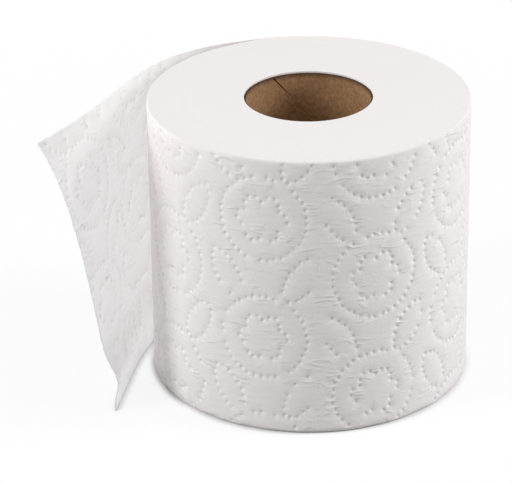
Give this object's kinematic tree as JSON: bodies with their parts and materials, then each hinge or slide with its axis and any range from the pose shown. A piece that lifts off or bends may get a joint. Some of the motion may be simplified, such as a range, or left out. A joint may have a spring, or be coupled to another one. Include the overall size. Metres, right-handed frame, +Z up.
{
  "type": "toilet paper roll",
  "caption": "Roll of embossed white toilet tissue wound on a brown paperboard core, standing on its end with the last sheet hanging loose as a tail.",
  "frame": {"origin": "on the core's axis, in the plane of the end that the roll stands on", "axes": "+Z up along the core's axis; the loose tail leaves on the -X side and hangs towards -Y, where the picture is taken from"},
  "size_m": [0.1457, 0.1118, 0.1016],
  "materials": {
    "tissue": "embossed two-ply tissue, soft and matt",
    "core_board": "uncoated brown kraft board"
  },
  "bodies": {
    "root": {"wound_tissue": "tissue", "core_tube": "core_board"}
  },
  "joints": []
}
